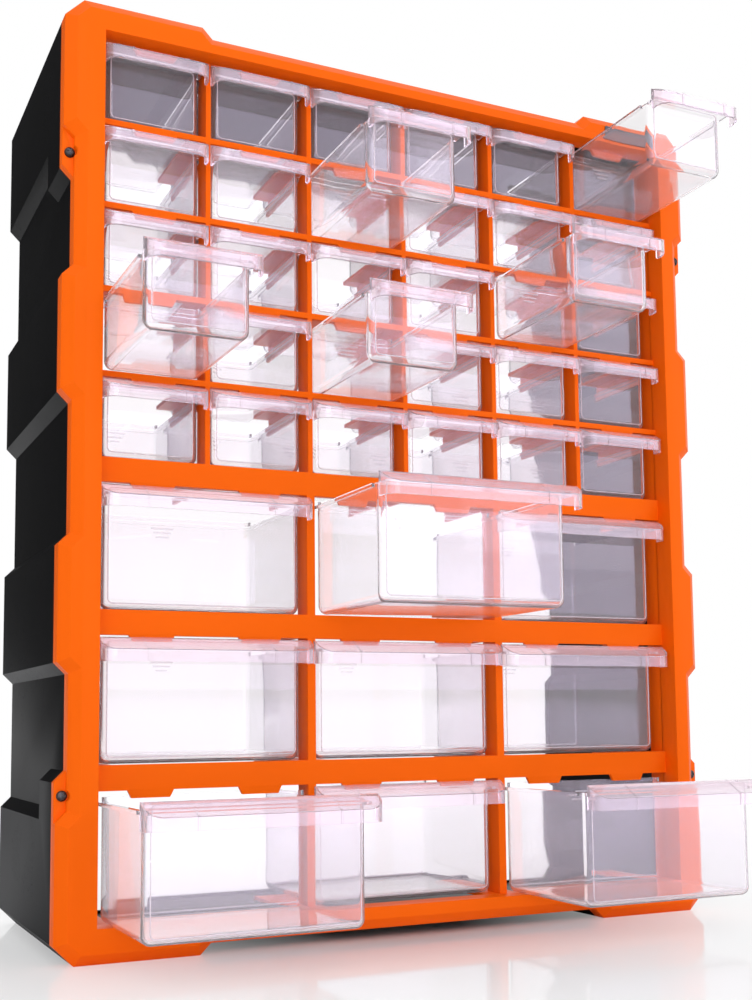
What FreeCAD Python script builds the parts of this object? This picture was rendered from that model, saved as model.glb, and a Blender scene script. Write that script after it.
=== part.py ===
import FreeCAD, Part
import os

os.makedirs("parts", exist_ok=True)

# Parts bin cabinet. Millimetres, +Z up, the drawers open toward -Y.
# The origin is on the floor, halfway across the cabinet and halfway between
# its rear and the front of the drawer that stands open furthest.

# Whole cabinet
cabinet_width = 380.0
cabinet_depth = 160.0
cabinet_height = 475.0

# Stepped outline of the frame and the housing, read from the front
corner_chamfer = 9.5
side_step = 5.5
side_step_shares = (0.14, 0.2885, 0.42)
edge_step = 5.5
edge_step_share = 0.3132

# Grid of cells inside the border
side_border = 19.3
grid_bottom = 17.2
top_border = 15.6
small_columns = 6
small_rows = 5
large_columns = 3
large_rows = 3
large_row_share = 1.745
thin_bar_width = 2.6
thin_bar_height = 3.0
wide_bar_width = 4.4
thick_bar_height = 12.5
columns_per_large = small_columns // large_columns

# Front frame
frame_depth = 14.0
bevel_width = 5.5
bevel_depth = 5.0
grid_setback = 11.4
grid_thickness = 4.0
fin_depth = 10.0
tab_top_width = 24.2
tab_bottom_width = 19.3
tab_height = 3.8
tab_thickness = 2.0
tab_root = 1.0

# Rails behind the grid, one under every line between two drawers
rail_end = 73.5
rail_half_width = 10.0
rail_thickness = 2.0
web_thickness = 1.7
web_height = 9.4
wall_rail_reach = 2.0
wall_web_thickness = 1.5

# Screw lugs
lug_length = 13.6
lug_face_setback = 8.5
lug_overlap = 3.0
screw_inset = 3.7
screw_height_from_step = 12.7
pocket_radius = 3.2

# Frame screw
screw_head_radius = 2.6
screw_head_height = 1.9
screw_dome_share = 0.45
screw_shank_radius = 1.2
screw_shank_length = 15.0
screw_hole_clearance = 0.3
screw_slot_width = 0.8
screw_slot_length = 3.2
screw_slot_depth = 0.9

# Housing
housing_wall = 2.2
boss_depth = 30.0
rear_rim_width = 1.6
rear_rim_depth = 3.0

# Name plate
plate_width = 38.0
plate_height = 8.0
plate_thickness = 0.8
plate_corner_radius = 0.8
plate_side_gap = 21.0
plate_bottom_gap = 1.8

# Drawers
drawer_wall = 1.5
drawer_floor = 1.6
corner_radius = 4.5
slide_gap = 0.25
side_gap = 0.45
rim_band = 1.6
rim_height = 1.8
front_gap = 0.3
panel_setback = 5.0
drawer_rear = 97.5
hood_drop = 1.0
neck_thickness = 1.5
side_wall_drop = 5.2
back_wall_drop = 2.8
side_cut_margin = 3.2
hood_gap = 2.0
hood_front = 0.2
hood_wall = 1.3
hood_corner_radius = 8.0
flange_height = 6.2
small_hood_fall = 5.0
large_hood_fall = 6.2
hood_rib_width = 0.9
hood_rib_proud = 0.4
small_rib_share = 0.25
large_rib_share = 0.29
mark_widths = (13.0, 10.0, 7.0)
mark_height = 0.9
mark_pitch = 2.4
mark_proud = 0.4
mark_drop = 3.5

# The drawers that stand open: row, column and share of the travel
stop_gap = 0.5
small_open_shares = {(1, 6): 0.945, (2, 3): 0.908, (3, 5): 0.993, (4, 1): 0.993, (4, 3): 0.902}
large_open_shares = {(1, 2): 0.997, (3, 1): 0.997, (3, 3): 0.997}

# Derived positions
half_width = cabinet_width / 2
travel = drawer_rear - drawer_wall - grid_setback - tab_thickness - stop_gap
open_shares = {"small": small_open_shares, "large": large_open_shares}
furthest_open = travel * max(max(shares.values()) for shares in open_shares.values())
rear_y = (cabinet_depth + furthest_open) / 2
front_y = rear_y - cabinet_depth
grid_y = front_y + grid_setback
grid_back_y = grid_y + grid_thickness
fin_back_y = grid_back_y + fin_depth
grid_half_width = half_width - side_border
column_pitch = grid_half_width * 2 / small_columns
rows_height = cabinet_height - grid_bottom - top_border + thin_bar_height
small_row_pitch = rows_height / (small_rows + large_row_share * large_rows)
large_row_pitch = small_row_pitch * large_row_share
side_step_starts = [cabinet_height * share for share in side_step_shares]
edge_step_start = cabinet_width * edge_step_share
plate_centre_x = half_width - plate_side_gap - plate_width / 2
small_bottom = grid_bottom + large_row_pitch * large_rows
grid_top = small_bottom + small_row_pitch * small_rows - thin_bar_height
small_opening_width = column_pitch - thin_bar_width
small_opening_height = small_row_pitch - thin_bar_height
large_pitch = column_pitch * columns_per_large
large_opening_width = large_pitch - wide_bar_width
large_opening_height = large_row_pitch - thick_bar_height
half_height = cabinet_height / 2
overshoot = cabinet_depth


def vec(x, y, z):
    return FreeCAD.Vector(x, y, z)


def box(x0, x1, y0, y1, z0, z1):
    return Part.makeBox(x1 - x0, y1 - y0, z1 - z0, vec(x0, y0, z0))


def mirrored_steps():
    """Heights of the outline's side steps from the floor to the top, each with its direction."""
    lower = []
    inward = True
    for start in side_step_starts:
        lower.append((start, inward))
        inward = not inward
    upper = [(cabinet_height - z - side_step, not way) for z, way in reversed(lower)]
    return lower + upper


def outline_points():
    """Corners of the stepped outline in X and Z, once round from the bottom right."""
    right = [(half_width, corner_chamfer)]
    for z, inward in mirrored_steps():
        before = half_width if inward else half_width - side_step
        after = half_width - side_step if inward else half_width
        right.append((before, z))
        right.append((after, z + side_step))
    right.append((half_width, cabinet_height - corner_chamfer))
    right.append((half_width - corner_chamfer, cabinet_height))
    right.append((edge_step_start, cabinet_height))
    right.append((edge_step_start - edge_step, cabinet_height - edge_step))
    left = [(-x, z) for x, z in reversed(right)]
    bottom = [
        (-half_width + corner_chamfer, 0),
        (-edge_step_start, 0),
        (-edge_step_start + edge_step, edge_step),
        (edge_step_start - edge_step, edge_step),
        (edge_step_start, 0),
        (half_width - corner_chamfer, 0),
    ]
    return right + left + bottom


def inset_points(points, distance):
    """The same closed outline with every edge moved inward by one distance."""
    lines = []
    count = len(points)
    for i in range(count):
        x0, z0 = points[i]
        x1, z1 = points[(i + 1) % count]
        length = ((x1 - x0) ** 2 + (z1 - z0) ** 2) ** 0.5
        ux = (x1 - x0) / length
        uz = (z1 - z0) / length
        lines.append((x0 - uz * distance, z0 + ux * distance, ux, uz))
    result = []
    for i in range(count):
        ax, az, adx, adz = lines[i - 1]
        bx, bz, bdx, bdz = lines[i]
        cross = adx * bdz - adz * bdx
        t = ((bx - ax) * bdz - (bz - az) * bdx) / cross
        result.append((ax + t * adx, az + t * adz))
    return result


def wire_xz(points, y):
    corners = [vec(x, y, z) for x, z in points]
    return Part.makePolygon(corners + corners[:1])


def prism_xz(points, y0, y1):
    return Part.Face(wire_xz(points, y0)).extrude(vec(0, y1 - y0, 0))


def prism_yz(points, x0, x1):
    corners = [vec(x0, y, z) for y, z in points]
    return Part.Face(Part.makePolygon(corners + corners[:1])).extrude(vec(x1 - x0, 0, 0))


def cells():
    """Every cell as kind, row from the top, column, centre X and bottom Z."""
    found = []
    for row in range(1, small_rows + 1):
        for column in range(1, small_columns + 1):
            x = -grid_half_width + column_pitch * (column - 0.5)
            z = small_bottom + small_row_pitch * (small_rows - row)
            found.append(("small", row, column, x, z))
    for row in range(1, large_rows + 1):
        for column in range(1, large_columns + 1):
            x = -grid_half_width + large_pitch * (column - 0.5)
            z = grid_bottom + large_row_pitch * (large_rows - row)
            found.append(("large", row, column, x, z))
    return found


def opening_size(kind):
    if kind == "small":
        return small_opening_width, small_opening_height
    return large_opening_width, large_opening_height


def tab_offsets(kind):
    if kind == "small":
        return (0,)
    return (-column_pitch / 2, column_pitch / 2)


def hanging_tabs(kind, x, z):
    """Stop tabs under the top edge of one cell, as blocks that reach a little above it."""
    height = opening_size(kind)[1]
    pieces = []
    for offset in tab_offsets(kind):
        points = [
            (x + offset - tab_bottom_width / 2, z + height - tab_height),
            (x + offset + tab_bottom_width / 2, z + height - tab_height),
            (x + offset + tab_top_width / 2, z + height),
            (x + offset + tab_top_width / 2, z + height + tab_root),
            (x + offset - tab_top_width / 2, z + height + tab_root),
            (x + offset - tab_top_width / 2, z + height),
        ]
        pieces.append(prism_xz(points, grid_y, grid_y + tab_thickness))
    return pieces


def row_tabs(kind, row):
    pieces = []
    for cell_kind, cell_row, column, x, z in cells():
        if cell_kind == kind and cell_row == row:
            pieces.extend(hanging_tabs(kind, x, z))
    return pieces


def make_cross_bars():
    """The bars between the rows, each with the stop tabs that hang from it."""
    bars = []
    rows = [("small", row) for row in range(2, small_rows + 1)]
    rows += [("large", row) for row in range(1, large_rows + 1)]
    for kind, row in rows:
        thickness = thin_bar_height if kind == "small" else thick_bar_height
        top = small_bottom + small_row_pitch * (small_rows - row + 1)
        if kind == "large":
            top = grid_bottom + large_row_pitch * (large_rows - row + 1)
        bar = box(
            -grid_half_width, grid_half_width, grid_y, grid_back_y, top - thickness, top
        )
        bars.append(bar.multiFuse(row_tabs(kind, row)).removeSplitter())
    return Part.makeCompound(bars)


def rail_rows():
    """Every row's bottom height, column count and column pitch, and whether webs hang there."""
    rows = []
    for row in range(small_rows):
        rows.append((small_bottom + small_row_pitch * row, small_columns, column_pitch, True))
    for row in range(large_rows):
        rows.append((grid_bottom + large_row_pitch * row, large_columns, large_pitch, row > 0))
    return rows


def make_upright_bars():
    """The short bars between neighbouring cells, each with a fin behind it up to the next ledge.

    The outer cells have a fin behind the border instead.
    """
    bars = []
    frame_back_y = front_y + frame_depth
    for z, columns, pitch, has_web in rail_rows():
        small = columns == small_columns
        width = thin_bar_width if small else wide_bar_width
        height = opening_size("small" if small else "large")[1]
        fin_top = z + height + (thin_bar_height if small else thick_bar_height) - rail_thickness
        for i in range(1, columns):
            x0 = -grid_half_width + pitch * i - width / 2
            bar = box(x0, x0 + width, grid_y, grid_back_y, z, z + height)
            fin = box(x0, x0 + width, grid_back_y, fin_back_y, z, fin_top)
            bars.append(bar.fuse(fin).removeSplitter())
        for side in (-1, 1):
            ends = sorted((side * grid_half_width, side * (grid_half_width + wall_rail_reach)))
            bars.append(box(ends[0], ends[1], frame_back_y, fin_back_y, z, fin_top))
    return Part.makeCompound(bars)


def make_rails():
    """Ledges and hanging webs that carry and guide the drawers behind the grid."""
    pieces = []
    y1 = front_y + rail_end
    wall_x = grid_half_width + wall_rail_reach
    for z, columns, pitch, has_web in rail_rows():
        y0 = grid_back_y if has_web else front_y + frame_depth
        web_bottom = z - rail_thickness - web_height
        web_top = z - rail_thickness / 2
        for i in range(1, columns):
            x = -grid_half_width + pitch * i
            rail = box(x - rail_half_width, x + rail_half_width, y0, y1, z - rail_thickness, z)
            if has_web:
                half_web = web_thickness / 2
                web = box(x - half_web, x + half_web, fin_back_y, y1, web_bottom, web_top)
                rail = rail.fuse(web).removeSplitter()
            pieces.append(rail)
        for side in (-1, 1):
            ends = sorted((side * (grid_half_width - rail_half_width), side * wall_x))
            rail = box(ends[0], ends[1], y0, y1, z - rail_thickness, z)
            if has_web:
                ends = sorted((side * (wall_x - wall_web_thickness), side * wall_x))
                web = box(ends[0], ends[1], fin_back_y, y1, web_bottom, web_top)
                rail = rail.fuse(web).removeSplitter()
            pieces.append(rail)
    return Part.makeCompound(pieces)


def lug_places():
    """The four lugs: side of the cabinet and whether it is an upper one."""
    return [(side, upper) for side in (-1, 1) for upper in (False, True)]


def lug_z(z, upper):
    return cabinet_height - z if upper else z


def lug_points(side, upper):
    step = side_step_starts[0]
    outer = half_width
    inner = half_width - side_step - lug_overlap
    raw = [
        (inner, step - side_step),
        (outer, step - side_step),
        (outer, step + lug_length + side_step),
        (outer - side_step, step + lug_length + 2 * side_step),
        (inner, step + lug_length + 2 * side_step),
    ]
    return [(side * x, lug_z(z, upper)) for x, z in raw]


def screw_centre(side, upper):
    z = side_step_starts[0] + screw_height_from_step
    return side * (half_width - screw_inset), lug_z(z, upper)


def cylinder_y(x, z, radius, y0, y1):
    return Part.makeCylinder(radius, y1 - y0, vec(x, y0, z), vec(0, 1, 0))


def make_front_frame():
    outline = outline_points()
    face_outline = inset_points(outline, bevel_width)
    bevel = Part.makeLoft(
        [wire_xz(face_outline, front_y), wire_xz(outline, front_y + bevel_depth)], True, True
    )
    body = prism_xz(outline, front_y + bevel_depth, front_y + frame_depth)
    lugs = [
        prism_xz(lug_points(s, u), front_y + lug_face_setback, front_y + frame_depth)
        for s, u in lug_places()
    ]
    border = bevel.multiFuse([body] + lugs)
    opening = box(
        -grid_half_width,
        grid_half_width,
        front_y - overshoot,
        rear_y,
        grid_bottom,
        grid_top,
    )
    cuts = [opening]
    for side, upper in lug_places():
        x, z = screw_centre(side, upper)
        cuts.append(
            cylinder_y(x, z, pocket_radius, front_y - overshoot, front_y + lug_face_setback)
        )
        hole = screw_shank_radius + screw_hole_clearance
        cuts.append(cylinder_y(x, z, hole, front_y, front_y + frame_depth + overshoot))
    border = border.cut(Part.makeCompound(cuts))
    return border.multiFuse(row_tabs("small", 1)).removeSplitter()


def make_housing():
    outline = outline_points()
    start = front_y + frame_depth
    shell = prism_xz(outline, start, rear_y)
    bosses = [prism_xz(lug_points(s, u), start, start + boss_depth) for s, u in lug_places()]
    inside = inset_points(outline, housing_wall)
    rim_inside = inset_points(outline, housing_wall + rear_rim_width)
    hollow = prism_xz(inside, start - overshoot, rear_y - rear_rim_depth)
    rear_hole = prism_xz(rim_inside, start - overshoot, rear_y + overshoot)
    shell = shell.cut(Part.makeCompound([hollow])).cut(rear_hole)
    whole = shell.multiFuse(bosses)
    holes = []
    for side, upper in lug_places():
        x, z = screw_centre(side, upper)
        depth = screw_shank_length + screw_hole_clearance
        hole = screw_shank_radius + screw_hole_clearance
        holes.append(
            cylinder_y(x, z, hole, front_y, front_y + lug_face_setback + depth)
        )
    return whole.cut(Part.makeCompound(holes)).removeSplitter()


def make_screw(side, upper):
    x, z = screw_centre(side, upper)
    seat = front_y + lug_face_setback
    rim = screw_head_height * (1 - screw_dome_share)
    head = cylinder_y(x, z, screw_head_radius, seat - rim, seat)
    dome = Part.makeCone(
        screw_head_radius,
        screw_head_radius * screw_dome_share,
        screw_head_height - rim,
        vec(x, seat - rim, z),
        vec(0, -1, 0),
    )
    shank = cylinder_y(x, z, screw_shank_radius, seat, seat + screw_shank_length)
    top = seat - screw_head_height
    half_length = screw_slot_length / 2
    half_slot = screw_slot_width / 2
    across = box(
        x - half_length, x + half_length, top, top + screw_slot_depth, z - half_slot, z + half_slot
    )
    along = box(
        x - half_slot, x + half_slot, top, top + screw_slot_depth, z - half_length, z + half_length
    )
    solid = head.multiFuse([dome, shank])
    return solid.cut(across.fuse(along)).removeSplitter()


def make_name_plate():
    z0 = grid_top + plate_bottom_gap
    x0 = plate_centre_x - plate_width / 2
    plate = box(x0, x0 + plate_width, front_y - plate_thickness, front_y, z0, z0 + plate_height)
    corners = [e for e in plate.Edges if abs(e.Vertexes[0].Y - e.Vertexes[1].Y) > 0]
    return plate.makeFillet(plate_corner_radius, corners)


def edge_runs_along(edge, axis):
    a = edge.Vertexes[0].Point
    b = edge.Vertexes[1].Point
    return abs((b - a).dot(axis)) > 0.5 * (b - a).Length


def rounded_tub(x0, x1, y0, y1, z0, z1, radius):
    """A block with round upright corners and a round lower edge."""
    block = box(x0, x1, y0, y1, z0, z1)
    chosen = []
    for edge in block.Edges:
        upright = edge_runs_along(edge, vec(0, 0, 1))
        low = max(v.Z for v in edge.Vertexes) < z0 + radius
        if upright or low:
            chosen.append(edge)
    return block.makeFillet(radius, chosen)


def rounded_front(x0, x1, y0, y1, z0, z1, radius):
    """A block whose two upright front corners are round."""
    block = box(x0, x1, y0, y1, z0, z1)
    chosen = []
    for edge in block.Edges:
        if edge_runs_along(edge, vec(0, 0, 1)) and edge.Vertexes[0].Y < y0 + radius:
            chosen.append(edge)
    return block.makeFillet(radius, chosen)


def hood_solid(half, front, back, top, fall, bottom, radius):
    """The sloping hood as a full block, with round upright front corners."""
    profile = [(back, bottom), (front, bottom), (front, top - fall), (back, top)]
    slab = prism_yz(profile, -half, half)
    plan = rounded_front(-half, half, front, back + radius, bottom, top, radius)
    return slab.common(plan)


def make_drawer(kind):
    """One drawer, closed, with its cell's bottom centre at X and Z zero."""
    width, height = opening_size(kind)
    pitch = column_pitch if kind == "small" else large_pitch
    fall = small_hood_fall if kind == "small" else large_hood_fall
    share = small_rib_share if kind == "small" else large_rib_share
    rim_half = width / 2 - side_gap
    half = rim_half - rim_band
    panel_front = grid_y + panel_setback
    panel_back = panel_front + drawer_wall
    rear = front_y + drawer_rear
    top = height - hood_drop
    side_top = height - side_wall_drop
    back_top = height - back_wall_drop

    outer = rounded_tub(-half, half, panel_front, rear, slide_gap, back_top, corner_radius)
    band = rounded_tub(
        -rim_half,
        rim_half,
        panel_front,
        rear + rim_band,
        side_top - rim_height - corner_radius,
        side_top,
        corner_radius,
    )
    band = band.common(
        box(-pitch, pitch, panel_back + corner_radius, rear_y, side_top - rim_height, side_top)
    )

    hood_half = pitch / 2 - hood_gap / 2
    hood_back = grid_y - front_gap
    riser_front = hood_back - drawer_wall
    lip_y = front_y + hood_front
    lip_bottom = top - fall - flange_height
    hood = hood_solid(hood_half, lip_y, hood_back, top, fall, lip_bottom, hood_corner_radius)
    ribs = []
    for side in (-1, 1):
        centre = side * share * pitch
        profile = [
            (hood_back, lip_bottom),
            (lip_y - hood_rib_proud, lip_bottom),
            (lip_y - hood_rib_proud, top - fall + hood_rib_proud / 2),
            (hood_back, top + hood_rib_proud / 2),
        ]
        ribs.append(prism_yz(profile, centre - hood_rib_width / 2, centre + hood_rib_width / 2))
    hood = hood.multiFuse(ribs)
    hollow = hood_solid(
        hood_half - hood_wall,
        lip_y + hood_wall,
        riser_front,
        top - hood_wall,
        fall,
        lip_bottom - flange_height,
        hood_corner_radius - hood_wall,
    )
    neck_bottom = side_top - neck_thickness
    under_riser = box(
        -hood_half + hood_wall,
        hood_half - hood_wall,
        riser_front,
        panel_front,
        lip_bottom - flange_height,
        neck_bottom,
    )
    hood = hood.cut(hollow).cut(under_riser)
    neck = box(-half, half, riser_front, panel_back, neck_bottom, side_top)

    inside = rounded_tub(
        -half + drawer_wall,
        half - drawer_wall,
        panel_back,
        rear - drawer_wall,
        slide_gap + drawer_floor,
        top + height,
        corner_radius - drawer_wall,
    )
    side_cut = box(
        -pitch, pitch, panel_front, rear - side_cut_margin, side_top, top + height
    )
    body = outer.fuse(band).cut(side_cut).cut(inside)
    marks = []
    mark_back = rear - drawer_wall
    for i, mark_width in enumerate(mark_widths):
        z = side_top - mark_drop - mark_pitch * i
        marks.append(
            box(
                -mark_width / 2,
                mark_width / 2,
                mark_back - mark_proud,
                mark_back + drawer_wall / 2,
                z - mark_height,
                z,
            )
        )
    return body.multiFuse([neck, hood] + marks).removeSplitter()


def export(shape, name):
    solids = shape.Solids
    if len(solids) == 1:
        shape = solids[0]
    shape.exportStep("parts/" + name + ".step")
    print(name, "solids", len(solids), "valid", shape.isValid(), "volume", round(shape.Volume))


export(make_front_frame(), "front_frame")
export(make_cross_bars(), "cross_bars")
export(make_upright_bars(), "upright_bars")
export(make_rails(), "drawer_rails")
export(make_housing(), "housing")
export(make_name_plate(), "name_plate")
screws = Part.makeCompound([make_screw(s, u) for s, u in lug_places()])
export(screws, "frame_screws")

patterns = {"small": make_drawer("small"), "large": make_drawer("large")}
for kind, row, column, x, z in cells():
    drawer = patterns[kind].copy()
    drawer.translate(vec(x, -travel * open_shares[kind].get((row, column), 0), z))
    export(drawer, "drawer_" + kind + "_r" + str(row) + "_c" + str(column))
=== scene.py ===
# %% [markdown]
# # Parts bin cabinet
# A wide, shallow cabinet for screws and other small parts. An orange front
# frame holds a grid of clear drawers, small ones above and large ones below,
# and a black housing with stepped sides stands behind it. The sizes and the
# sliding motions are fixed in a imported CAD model. This file dresses that
# model with round edges, plastics, a studio and a camera.

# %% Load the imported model
import math

import bpy
from mathutils import Matrix, Vector


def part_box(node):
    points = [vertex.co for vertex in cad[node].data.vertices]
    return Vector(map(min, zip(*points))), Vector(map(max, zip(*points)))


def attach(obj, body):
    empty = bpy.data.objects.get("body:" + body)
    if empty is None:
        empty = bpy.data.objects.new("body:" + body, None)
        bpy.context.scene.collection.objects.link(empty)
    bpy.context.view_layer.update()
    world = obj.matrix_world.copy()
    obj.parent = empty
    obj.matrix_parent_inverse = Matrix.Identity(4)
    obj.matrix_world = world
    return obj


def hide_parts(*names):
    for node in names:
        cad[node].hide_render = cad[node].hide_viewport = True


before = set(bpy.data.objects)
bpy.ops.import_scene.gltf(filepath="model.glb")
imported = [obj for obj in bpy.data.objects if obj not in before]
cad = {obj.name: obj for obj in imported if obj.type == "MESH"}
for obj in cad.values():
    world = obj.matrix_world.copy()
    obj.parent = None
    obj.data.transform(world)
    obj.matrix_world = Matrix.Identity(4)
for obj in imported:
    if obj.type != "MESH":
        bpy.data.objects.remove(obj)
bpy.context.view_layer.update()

mm = 0.001
drawer_names = sorted(name for name in cad if name.startswith(("drawer_small", "drawer_large")))
print("nodes:", len(cad), "drawers:", len(drawer_names))

# %% [markdown]
# ## Sizes that the pieces share
# The border's flat face is the front plane, and the grid of bars is set back
# behind it. The pieces below repeat the sizes of the CAD model's own
# features, in metres, so they land on the solids they stand for.

# %% Sizes of the grid and the drawers
front_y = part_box("front_frame")[0][1]
grid_half_width = 170.7 * mm
grid_bottom = 17.2 * mm
grid_setback = 11.4 * mm
grid_thickness = 4.0 * mm
column_pitch = 56.9 * mm
large_pitch = 2 * column_pitch
small_row_pitch = 43.498 * mm
large_row_pitch = 75.904 * mm
thin_bar = 2.6 * mm
thin_bar_height = 3.0 * mm
wide_bar = 4.4 * mm
thick_bar_height = 12.5 * mm
small_bottom = grid_bottom + 3 * large_row_pitch
grid_top = small_bottom + 5 * small_row_pitch - thin_bar_height
print("front plane", round(front_y, 4), "grid top", round(grid_top, 4))

# %% [markdown]
# ## Small tools for node trees
# A geometry node tree is easier to read when its sums look like sums. Wire
# wraps an output socket, so that adding or multiplying two of them places a
# Math node. new_tree makes a tree whose sizes are named inputs, and add places
# one node and joins its inputs by name.

# %% Wires and nodes
class Wire:
    def __init__(self, tree, socket):
        self.tree = tree
        self.socket = socket

    def math(self, how, other):
        node = self.tree.nodes.new("ShaderNodeMath")
        node.operation = how
        join_socket(self.tree, self, node.inputs[0])
        join_socket(self.tree, other, node.inputs[1])
        return Wire(self.tree, node.outputs[0])

    def __add__(self, other):
        return self.math("ADD", other)

    def __sub__(self, other):
        return self.math("SUBTRACT", other)

    def __mul__(self, other):
        return self.math("MULTIPLY", other)

    def __truediv__(self, other):
        return self.math("DIVIDE", other)

    def __rsub__(self, other):
        return self.math("MULTIPLY", -1.0).math("ADD", other)

    def __radd__(self, other):
        return self.math("ADD", other)

    def __rmul__(self, other):
        return self.math("MULTIPLY", other)

    def __gt__(self, other):
        return self.math("GREATER_THAN", other)

    def __lt__(self, other):
        return self.math("LESS_THAN", other)


def join_socket(tree, value, socket):
    if isinstance(value, Wire):
        tree.links.new(value.socket, socket)
    else:
        socket.default_value = value


def add(tree, kind, inputs=None, output=0, **settings):
    node = tree.nodes.new(kind)
    for name, setting in settings.items():
        setattr(node, name, setting)
    for name, value in (inputs or {}).items():
        join_socket(tree, value, node.inputs[name])
    return Wire(tree, node.outputs[output])


def new_tree(name, sizes):
    tree = bpy.data.node_groups.new(name, "GeometryNodeTree")
    tree.interface.new_socket("Geometry", in_out="INPUT", socket_type="NodeSocketGeometry")
    tree.interface.new_socket("Geometry", in_out="OUTPUT", socket_type="NodeSocketGeometry")
    for size, value in sizes.items():
        socket = tree.interface.new_socket(size, in_out="INPUT", socket_type="NodeSocketFloat")
        socket.default_value = value
    entry = tree.nodes.new("NodeGroupInput")
    return tree, {s.name: Wire(tree, s) for s in entry.outputs if s.name}


# %% [markdown]
# Four moves build every moulded shape here: a block with round upright
# corners, a row or grid of copies, a cut, and a union. Booleans keep a shell
# closed, which clear plastic needs, because light bends wrongly where two
# closed shapes only overlap.

# %% Blocks, copies, cuts and unions
weld_gap = 0.001 * mm


def vector(tree, x, y, z):
    return add(tree, "ShaderNodeCombineXYZ", {"X": x, "Y": y, "Z": z})


def height_of(tree):
    position = add(tree, "GeometryNodeInputPosition")
    return [add(tree, "ShaderNodeSeparateXYZ", {"Vector": position}, output=i) for i in range(3)]


def placed(tree, piece, x, y, z):
    return add(tree, "GeometryNodeTransform", {"Geometry": piece, "Translation": vector(tree, x, y, z)})


def together(tree, *pieces):
    node = tree.nodes.new("GeometryNodeJoinGeometry")
    for piece in pieces:
        tree.links.new(piece.socket, node.inputs[0])
    return Wire(tree, node.outputs[0])


def brick(tree, width, depth, height, x, y, z):
    """A plain block that other shapes are cut or joined with, placed by its middle."""
    cube = add(tree, "GeometryNodeMeshCube", {"Size": vector(tree, width, depth, height)})
    return placed(tree, cube, x, y, z)


def block(tree, width, y0, y1, z0, z1, radius, corners="all"):
    """A closed upright block with round corners, between two depths and two heights."""
    depth = y1 - y0
    outline = round_outline(tree, width, depth, radius, corners)
    return placed(tree, risen(tree, outline, [z1 - z0]), 0.0, y0 + depth / 2, z0)


def round_outline(tree, width, depth, radius, corners):
    outline = add(tree, "GeometryNodeCurvePrimitiveQuadrilateral", {"Width": width, "Height": depth})
    if corners == "front":
        radius = (height_of(tree)[1] < 0.0) * radius
    outline = add(
        tree,
        "GeometryNodeFilletCurve",
        {"Curve": outline, "Count": 7, "Radius": radius},
        mode="POLY",
    )
    return add(tree, "GeometryNodeFillCurve", {"Curve": outline}, mode="NGONS")


def risen(tree, bottom, steps):
    """Lifts a flat face through steps of height and closes it underneath."""
    node = None
    rising = bottom
    for step in steps:
        upward = vector(tree, 0.0, 0.0, 1.0)
        sides = {"Mesh": rising, "Offset": upward, "Offset Scale": step, "Individual": False}
        if node:
            sides["Selection"] = Wire(tree, node.outputs["Top"])
        rising = add(tree, "GeometryNodeExtrudeMesh", sides)
        node = rising.socket.node
    closed = together(tree, rising, add(tree, "GeometryNodeFlipFaces", {"Mesh": bottom}))
    return add(tree, "GeometryNodeMergeByDistance", {"Geometry": closed, "Distance": weld_gap})


def tub(tree, width, y0, y1, z0, z1, radius):
    """A block whose base is as round as its upright corners, like a cup pressed from a sheet."""
    depth = y1 - y0
    rings = 6
    turns = [math.cos(math.radians(90 * k / rings)) for k in range(rings + 1)]
    steps = [radius * (turns[k] - turns[k + 1]) for k in range(rings)] + [z1 - z0 - radius]
    cup = risen(tree, round_outline(tree, width, depth, radius, "all"), steps)
    x, y, z = height_of(tree)
    low = (radius - z) / radius
    reach = add(tree, "ShaderNodeMath", {0: 1.0 - low * low}, operation="SQRT")
    core = []
    for place, size in ((x, width), (y, depth)):
        limit = size / 2 - radius
        core.append(place.math("MINIMUM", limit).math("MAXIMUM", limit * -1.0))
    bent = vector(tree, core[0] + (x - core[0]) * reach, core[1] + (y - core[1]) * reach, z)
    bending = {"Geometry": cup, "Selection": z < radius * 0.999, "Position": bent}
    cup = add(tree, "GeometryNodeSetPosition", bending)
    cup = add(tree, "GeometryNodeMergeByDistance", {"Geometry": cup, "Distance": weld_gap})
    return placed(tree, cup, 0.0, y0 + depth / 2, z0)


def repeated(tree, piece, columns, rows, x, z, dx, dz):
    """Copies of a piece in rows and columns, from a first place and two pitches."""
    line = {"Count": columns, "Start Location": vector(tree, x, 0.0, z), "Offset": vector(tree, dx, 0.0, 0.0)}
    across = add(tree, "GeometryNodeMeshLine", line)
    up = add(tree, "GeometryNodeMeshLine", {"Count": rows, "Offset": vector(tree, 0.0, 0.0, dz)})
    places = add(tree, "GeometryNodeInstanceOnPoints", {"Points": up, "Instance": across})
    places = add(tree, "GeometryNodeRealizeInstances", {"Geometry": places})
    copies = add(tree, "GeometryNodeInstanceOnPoints", {"Points": places, "Instance": piece})
    return add(tree, "GeometryNodeRealizeInstances", {"Geometry": copies})


def cut(tree, body, *tools):
    node = tree.nodes.new("GeometryNodeMeshBoolean")
    node.operation = "DIFFERENCE"
    node.solver = "EXACT"
    tree.links.new(body.socket, node.inputs["Mesh 1"])
    for tool in tools:
        tree.links.new(tool.socket, node.inputs["Mesh 2"])
    return Wire(tree, node.outputs[0])


def union(tree, *pieces, overlapping=False):
    node = tree.nodes.new("GeometryNodeMeshBoolean")
    node.operation = "UNION"
    node.solver = "EXACT"
    node.inputs["Self Intersection"].default_value = overlapping
    for piece in pieces:
        tree.links.new(piece.socket, node.inputs["Mesh 2"])
    return Wire(tree, node.outputs[0])


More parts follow.
